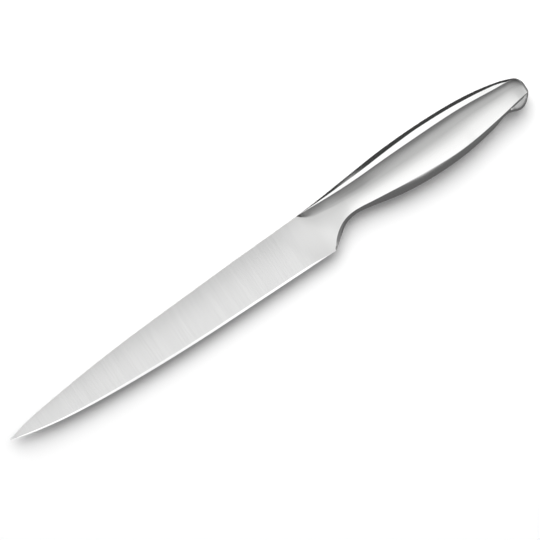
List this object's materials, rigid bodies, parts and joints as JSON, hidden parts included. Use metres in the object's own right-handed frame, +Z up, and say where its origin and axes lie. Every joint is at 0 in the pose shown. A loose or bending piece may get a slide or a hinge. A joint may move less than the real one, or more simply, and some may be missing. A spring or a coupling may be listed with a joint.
{
  "type": "fillet knife",
  "caption": "Long pointed blade running without a bolster into a flared shoulder and a hollow steel handle with creased sides, a swelling belly and a hooked butt.",
  "frame": {"origin": "middle of the underside of the bounding box, with the knife lying on its side", "axes": "+X along the knife from the point to the butt, +Y across it from the cutting edge to the spine, +Z up out of the side that the picture shows"},
  "size_m": [0.3336, 0.0324, 0.0162],
  "materials": {
    "blade_steel": "brushed across, from spine to edge",
    "front_shell_steel": "satin polished",
    "back_shell_steel": "satin polished",
    "core_resin": "cast, out of sight",
    "weight_steel": "turned, out of sight"
  },
  "bodies": {
    "root": {"blade": "blade_steel", "handle_shell_front": "front_shell_steel", "handle_shell_back": "back_shell_steel", "handle_core": "core_resin", "balance_weight": "weight_steel"}
  },
  "joints": []
}
